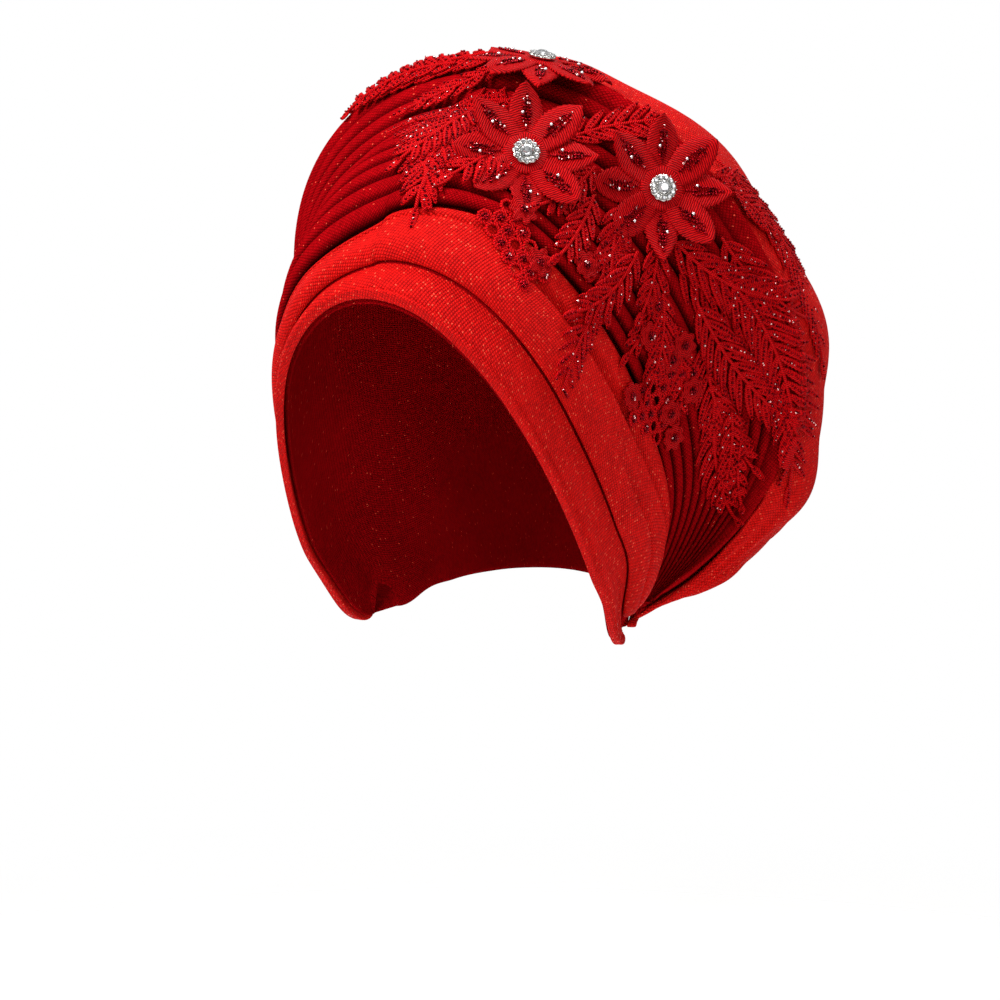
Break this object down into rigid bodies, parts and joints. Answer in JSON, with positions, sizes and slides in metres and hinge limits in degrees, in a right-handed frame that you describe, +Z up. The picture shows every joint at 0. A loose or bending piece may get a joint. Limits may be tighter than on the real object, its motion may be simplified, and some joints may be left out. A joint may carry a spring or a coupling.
{
  "type": "tied gele head tie",
  "caption": "Ready-tied gele head wrap: padded bands over a seating cap, a pleated halo with a hollow crown behind, trimmed with corded lace and stone-centred flowers.",
  "frame": {"origin": "middle of the wearer's head at brow height, where the head carries the wrap", "axes": "+X to the wearer's left, -Y the way the face looks, +Z up"},
  "size_m": [0.2479, 0.2306, 0.2488],
  "materials": {
    "red_woven_cloth": "bright red coarse woven head-tie cloth, matt with a fine metallic fleck",
    "deep_red_cloth": "the same cloth, deeper where the folds shade it",
    "red_guipure_lace": "corded and embroidered red lace, satin sheen",
    "silver_setting": "polished silver-coloured stone settings",
    "clear_crystal": "clear faceted stones with a foiled back"
  },
  "bodies": {
    "root": {"cap": "deep_red_cloth", "front_band": "red_woven_cloth", "second_band": "red_woven_cloth", "pleated_halo": "deep_red_cloth", "crown_back": "red_woven_cloth", "nape_band": "red_woven_cloth", "lace_plume_left": "red_guipure_lace", "lace_spray_rim": "red_guipure_lace", "lace_plume_right": "red_guipure_lace", "lace_plume_side": "red_guipure_lace", "lace_spray_crown": "red_guipure_lace", "lace_spray_back": "red_guipure_lace", "lace_net_front": "red_guipure_lace", "lace_net_side": "red_guipure_lace", "floret_1": "red_guipure_lace", "floret_2": "red_guipure_lace", "floret_3": "red_guipure_lace", "flower_left": "red_guipure_lace", "flower_right": "red_guipure_lace", "flower_top": "red_guipure_lace", "setting_left": "silver_setting", "crystal_left": "clear_crystal", "setting_right": "silver_setting", "crystal_right": "clear_crystal", "setting_top": "silver_setting", "crystal_top": "clear_crystal"}
  },
  "joints": []
}
